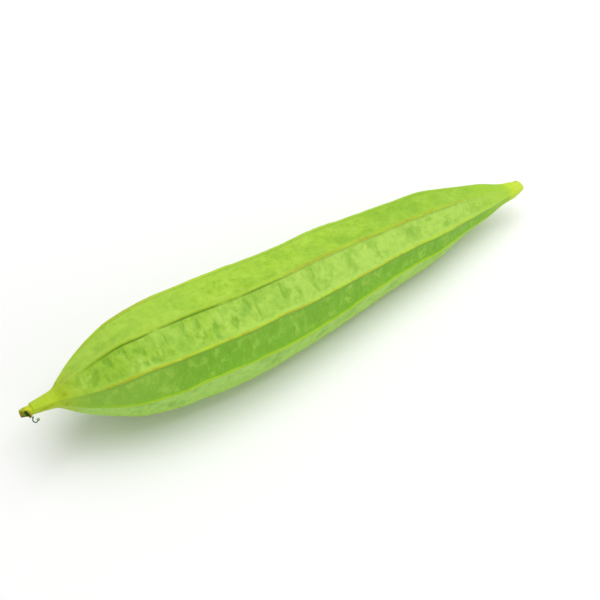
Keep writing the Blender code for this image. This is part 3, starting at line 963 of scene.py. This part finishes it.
def makeCup(cup):
    outwards = -headingOf(0.0)
    foot = middleOf(0.0) + shift + outwards * gourdShape["jointGap"] * cup["footAt"]
    foot += stepAround(0.0, cup["lowerAt"], cup["lower"])
    shape = bmesh.new()
    alongLayer = shape.verts.layers.float.new("along")
    insideLayer = shape.verts.layers.float.new("shadedInside")
    lowLayer = shape.verts.layers.float.new("low")
    depthLayer = shape.verts.layers.float.new("depth")
    boxLow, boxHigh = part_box("flower_cup")

    # the outer wall runs up to the torn rim, the inner one back down to the floor
    def wallPoint(share, degrees, inner):
        around = math.radians(degrees)
        torn = noise.noise(Vector((math.cos(around) * 2.6, math.sin(around) * 2.6, 3.7)))
        reach = share * (valueAt(cup["edge"], degrees) + cup["tornDepth"] * torn)
        lip = max(0.0, math.cos(math.radians(degrees - cup["lipAt"]))) ** 6
        lip *= cup["lip"] * share**1.3
        crease = noise.noise(Vector((degrees / 16, reach * 700, 9.1))) * cup["creaseDepth"] * share
        spread = reach / cup["reach"]
        radius = cup["radius"] + (cup["rimRadius"] - cup["radius"]) * spread
        radius += lip + crease - inner * cup["wall"]
        upper = max(0.0, math.cos(math.radians(degrees - cup["upperAt"])))
        radius *= 1 - cup["turnedIn"] * upper * spread**4
        point = foot + outwards * reach + stepAround(0.0, degrees, radius)
        point.z -= cup["droop"] * reach**2
        return Vector(min(max(point[i], boxLow[i]), boxHigh[i]) for i in range(3)), reach

    last = cup["rings"] - 1
    rows = [(i / last, 0.0) for i in range(last + 1)]
    rows += [(1.02, 0.5)]  # rounds the rim
    rows += [(i / last, 1.0) for i in range(last, 2, -1)]
    loops = []
    for share, inner in rows:
        loop = []
        for k in range(cup["sides"]):
            degrees = 360 * k / cup["sides"]
            point, reach = wallPoint(share, degrees, inner)
            vert = shape.verts.new(point)
            vert[depthLayer] = reach * 1000
            vert[alongLayer] = share
            vert[insideLayer] = inner
            vert[lowLayer] = 0.5 + 0.5 * math.cos(math.radians(degrees - cup["lipAt"]))
            loop.append(vert)
        loops.append(loop)
    for first, second in zip(loops, loops[1:]):
        for k in range(cup["sides"]):
            after = (k + 1) % cup["sides"]
            shape.faces.new((first[k], first[after], second[after], second[k]))
    shape.faces.new(loops[0])
    shape.faces.new(loops[-1])
    mesh = bpy.data.meshes.new("witheredCup")
    shape.to_mesh(mesh)
    shape.free()
    mesh.materials.append(makeCupMaterial(cup))
    return keepMesh("witheredCup", tidyMesh(mesh), "flower_cup")


makeCup(flowerCup)
print("flower cup done")


# the curled thread
styleThread = {
    "radius": 0.00034,
    "curl": 0.0015,
    "tightening": 0.35,
    "drop": 0.0007,
    "bead": 0.00092,
    "beadAt": 0.87,
    "beadReach": 0.13,
    "startsAt": 0.0031,  # off the beak's middle line
    "at": -39.0,  # degrees around the beak
    "out": 0.0007,
    "turn": (150.0, 400.0),  # where the curl starts and ends, in degrees
    "faces": -33.0,  # the curl's plane, in degrees
    "leans": 50.0,
    "points": 90,
    "startPoints": 12,
    "sides": 20,
    "startThickness": 1.5,
    "thinning": 0.15,
    "unevenness": 0.12,
    "dark": paint(36, 76, 12),
    "pale": paint(160, 196, 128),
    "paleShare": 0.8,
    "stainShare": 0.5,
    "roughness": 0.6,
    "bumpDepth": 0.0001,
}


def makeThreadMaterial(thread):
    material, tree, shader = startMaterial("driedThread", thread["roughness"])
    place = objectPlace(tree)
    along = attributeOf(tree, "along")
    tip = rise(tree, along, thread["beadAt"] - 0.12, thread["beadAt"])
    tip = calc(tree, "MULTIPLY", tip, thread["paleShare"])
    colour = mixColour(tree, tip, thread["dark"], thread["pale"])
    stain = rise(tree, noiseAt(tree, place, 2200.0, 2.0), 0.5, 0.7)
    stain = calc(tree, "MULTIPLY", stain, thread["stainShare"])
    colour = mixColour(tree, stain, colour, thread["dark"])
    tree.links.new(colour, shader.inputs["Base Color"])
    bumpFrom(tree, shader, [(noiseAt(tree, place, 3000.0), thread["bumpDepth"])])
    return material


def makeThread(thread):
    gap = gourdShape["jointGap"]
    below = stepAround(0.0, thread["at"], thread["startsAt"] + thread["radius"] + gap)
    start = middleOf(0.0) + shift - headingOf(0.0) * thread["out"] + below
    faces, leans = math.radians(thread["faces"]), math.radians(thread["leans"])
    sideways = Vector((math.cos(faces), math.sin(faces), 0.0))
    away = Vector((-math.sin(faces), math.cos(faces), 0.0))
    upwards = away * math.sin(leans) + Vector((0.0, 0.0, math.cos(leans)))
    first, last = (math.radians(degrees) for degrees in thread["turn"])
    curlStart = start - upwards * thread["drop"]
    hub = curlStart - thread["curl"] * (sideways * math.cos(first) + upwards * math.sin(first))
    straight = [i / thread["startPoints"] for i in range(thread["startPoints"])]
    centres = [start + (curlStart - start) * share for share in straight]
    thicker = thread["startThickness"]
    radii = [thread["radius"] * (thicker - (thicker - 1) * share) for share in straight]
    for i in range(thread["points"]):
        share = i / (thread["points"] - 1)
        turn = first + (last - first) * share
        reach = thread["curl"] * (1 - thread["tightening"] * share)
        centres.append(hub + reach * (sideways * math.cos(turn) + upwards * math.sin(turn)))
        swelling = max(0.0, 1 - ((share - thread["beadAt"]) / thread["beadReach"]) ** 2)
        thin = thread["radius"] * (1 - thread["thinning"] * (1 + share))
        radii.append(thin + (thread["bead"] - thin) * math.sqrt(swelling))
    radii[-1] = thread["radius"] * 0.1

    def form(share, turn):
        place = Vector((math.cos(turn), math.sin(turn), share * 30))
        return 1 + thread["unevenness"] * noise.noise(place)

    mesh = sweepTube("curledThread", centres, radii, thread["sides"], form)
    mesh.materials.append(makeThreadMaterial(thread))
    return keepMesh("curledThread", mesh, "style_thread")


makeThread(styleThread)
print("thread done")


# a pale floor under two soft lamps
studio = {
    "floorSize": 12.0,
    "floor": (0.96, 0.96, 0.96, 1.0),
    "floorRoughness": 0.8,
    "floorShine": 0.1,
    "sky": (1.0, 1.0, 1.0, 1.0),
    "skyStrength": 0.50,
    "lampPlace": (0.4, 0.1, 1.5),
    "lampSize": 1.6,
    "lampPower": 18.0,
    "fillPlace": (0.7, -1.3, 0.9),
    "fillSize": 1.2,
    "fillPower": 3.5,
}


def addLamp(name, place, size, power):
    light = bpy.data.lights.new(name, "AREA")
    light.shape = "SQUARE"
    light.size = size
    light.energy = power
    lamp = bpy.data.objects.new(name, light)
    bpy.context.scene.collection.objects.link(lamp)
    lamp.location = place
    lamp.rotation_euler = (-Vector(place)).to_track_quat("-Z", "Y").to_euler()


def buildStudio(setup):
    bpy.ops.mesh.primitive_plane_add(size=setup["floorSize"])
    floor = bpy.context.object
    floor.name = "studioFloor"
    material, tree, shader = startMaterial("paleFloor", setup["floorRoughness"])
    shader.inputs["Base Color"].default_value = setup["floor"]
    shader.inputs["Specular IOR Level"].default_value = setup["floorShine"]
    floor.data.materials.append(material)
    addLamp("topLamp", setup["lampPlace"], setup["lampSize"], setup["lampPower"])
    addLamp("frontFill", setup["fillPlace"], setup["fillSize"], setup["fillPower"])
    world = bpy.data.worlds.new("studioSky")
    bpy.context.scene.world = world
    world.use_nodes = True
    sky = world.node_tree.nodes["Background"]
    sky.inputs["Color"].default_value = setup["sky"]
    sky.inputs["Strength"].default_value = setup["skyStrength"]
    bpy.context.scene.view_settings.view_transform = "Standard"


buildStudio(studio)
print("studio ready")
